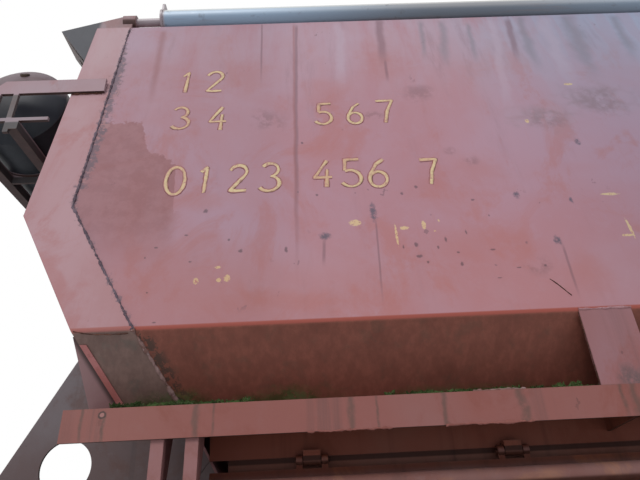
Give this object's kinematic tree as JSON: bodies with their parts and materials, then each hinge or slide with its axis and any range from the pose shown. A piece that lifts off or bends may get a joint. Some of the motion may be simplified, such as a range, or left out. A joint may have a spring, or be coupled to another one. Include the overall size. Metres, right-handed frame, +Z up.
{
  "type": "self-discharging bogie hopper wagon",
  "caption": "Saddle-bottomed hopper wagon on two bogies, with swinging roof leaves and side discharge doors under folded steel sides.",
  "frame": {"origin": "midway between the bogies, on the plane that the wheel flanges stand on", "axes": "+X along the wagon, -X is the end in the picture; +Y to the far side; +Z up"},
  "size_m": [12.54, 3.0052, 4.2718],
  "materials": {
    "body_paint": "dusty matt",
    "frame_paint": "grimy matt",
    "roof_paint": "dusty matt",
    "door_rust": "rusty matt",
    "bogie_grime": "oily brake dust",
    "wheel_steel": "rusty web, worn tread",
    "greased_steel": "greased"
  },
  "bodies": {
    "wagon": {"centre_sill": "frame_paint", "saddle_frames": "frame_paint", "air_reservoir": "roof_paint", "reservoir_brackets": "body_paint", "hopper_ties": "body_paint", "ladder": "body_paint", "brake_gear": "bogie_grime", "headstock_a": "frame_paint", "headstock_b": "frame_paint", "bolster_a": "frame_paint", "bolster_b": "frame_paint", "cross_beam_a": "frame_paint", "cross_beam_b": "frame_paint", "end_wall_a": "body_paint", "end_wall_b": "body_paint", "end_platform_a": "frame_paint", "end_platform_b": "frame_paint", "roof_bearings_a": "body_paint", "roof_bearings_b": "body_paint", "buffers_a": "greased_steel", "buffers_b": "greased_steel", "draw_gear_a": "greased_steel", "draw_gear_b": "greased_steel", "ledge_near": "body_paint", "ledge_far": "body_paint", "saddle_floor_near": "body_paint", "saddle_floor_far": "body_paint", "side_wall_near": "body_paint", "side_wall_far": "body_paint", "stanchions_near": "body_paint", "stanchions_far": "body_paint", "top_rail_near": "body_paint", "top_rail_far": "body_paint", "door_header_near": "frame_paint", "door_header_far": "frame_paint", "corner_post_near_a": "body_paint", "corner_post_near_b": "body_paint", "corner_post_far_a": "body_paint", "corner_post_far_b": "body_paint"},
    "roof_leaf_near": {"roof_tube_near": "roof_paint", "roof_skin_near": "roof_paint"},
    "roof_leaf_far": {"roof_tube_far": "roof_paint", "roof_skin_far": "roof_paint"},
    "door_near_a": {"door_near_a": "door_rust"},
    "door_near_b": {"door_near_b": "door_rust"},
    "door_far_a": {"door_far_a": "door_rust"},
    "door_far_b": {"door_far_b": "door_rust"},
    "bogie_a": {"bogie_frame_a": "bogie_grime", "axleboxes_a": "bogie_grime", "bogie_springs_a": "bogie_grime", "brake_rigging_a": "bogie_grime"},
    "wheelset_a1": {"wheelset_a1": "wheel_steel"},
    "wheelset_a2": {"wheelset_a2": "wheel_steel"},
    "bogie_b": {"bogie_frame_b": "bogie_grime", "axleboxes_b": "bogie_grime", "bogie_springs_b": "bogie_grime", "brake_rigging_b": "bogie_grime"},
    "wheelset_b1": {"wheelset_b1": "wheel_steel"},
    "wheelset_b2": {"wheelset_b2": "wheel_steel"}
  },
  "joints": [
    {"name": "roof_near_hinge", "type": "hinge", "parent": "wagon", "child": "roof_leaf_near", "pos_m": [0, -1.163, 3.983], "axis": [1, 0, 0], "range_deg": [0, 100]},
    {"name": "door_near_a_hinge", "type": "hinge", "parent": "wagon", "child": "door_near_a", "pos_m": [-2.116, -1.306, 1.512], "axis": [-1, 0, 0], "range_deg": [0, 55]},
    {"name": "door_near_b_hinge", "type": "hinge", "parent": "wagon", "child": "door_near_b", "pos_m": [2.116, -1.306, 1.512], "axis": [-1, 0, 0], "range_deg": [0, 55]},
    {"name": "roof_far_hinge", "type": "hinge", "parent": "wagon", "child": "roof_leaf_far", "pos_m": [0, 1.163, 3.983], "axis": [-1, 0, 0], "range_deg": [0, 100]},
    {"name": "door_far_a_hinge", "type": "hinge", "parent": "wagon", "child": "door_far_a", "pos_m": [-2.116, 1.306, 1.512], "axis": [1, 0, 0], "range_deg": [0, 55]},
    {"name": "door_far_b_hinge", "type": "hinge", "parent": "wagon", "child": "door_far_b", "pos_m": [2.116, 1.306, 1.512], "axis": [1, 0, 0], "range_deg": [0, 55]},
    {"name": "bogie_a_swivel", "type": "hinge", "parent": "wagon", "child": "bogie_a", "pos_m": [-3.75, 0, 0.985], "axis": [0, 0, 1], "range_deg": [-4, 4]},
    {"name": "wheelset_a1_spin", "type": "hinge", "parent": "bogie_a", "child": "wheelset_a1", "pos_m": [-4.65, 0, 0.488], "axis": [0, 1, 0], "continuous": true},
    {"name": "wheelset_a2_spin", "type": "hinge", "parent": "bogie_a", "child": "wheelset_a2", "pos_m": [-2.85, 0, 0.488], "axis": [0, 1, 0], "continuous": true},
    {"name": "bogie_b_swivel", "type": "hinge", "parent": "wagon", "child": "bogie_b", "pos_m": [3.75, 0, 0.985], "axis": [0, 0, 1], "range_deg": [-4, 4]},
    {"name": "wheelset_b1_spin", "type": "hinge", "parent": "bogie_b", "child": "wheelset_b1", "pos_m": [2.85, 0, 0.488], "axis": [0, 1, 0], "continuous": true},
    {"name": "wheelset_b2_spin", "type": "hinge", "parent": "bogie_b", "child": "wheelset_b2", "pos_m": [4.65, 0, 0.488], "axis": [0, 1, 0], "continuous": true}
  ]
}
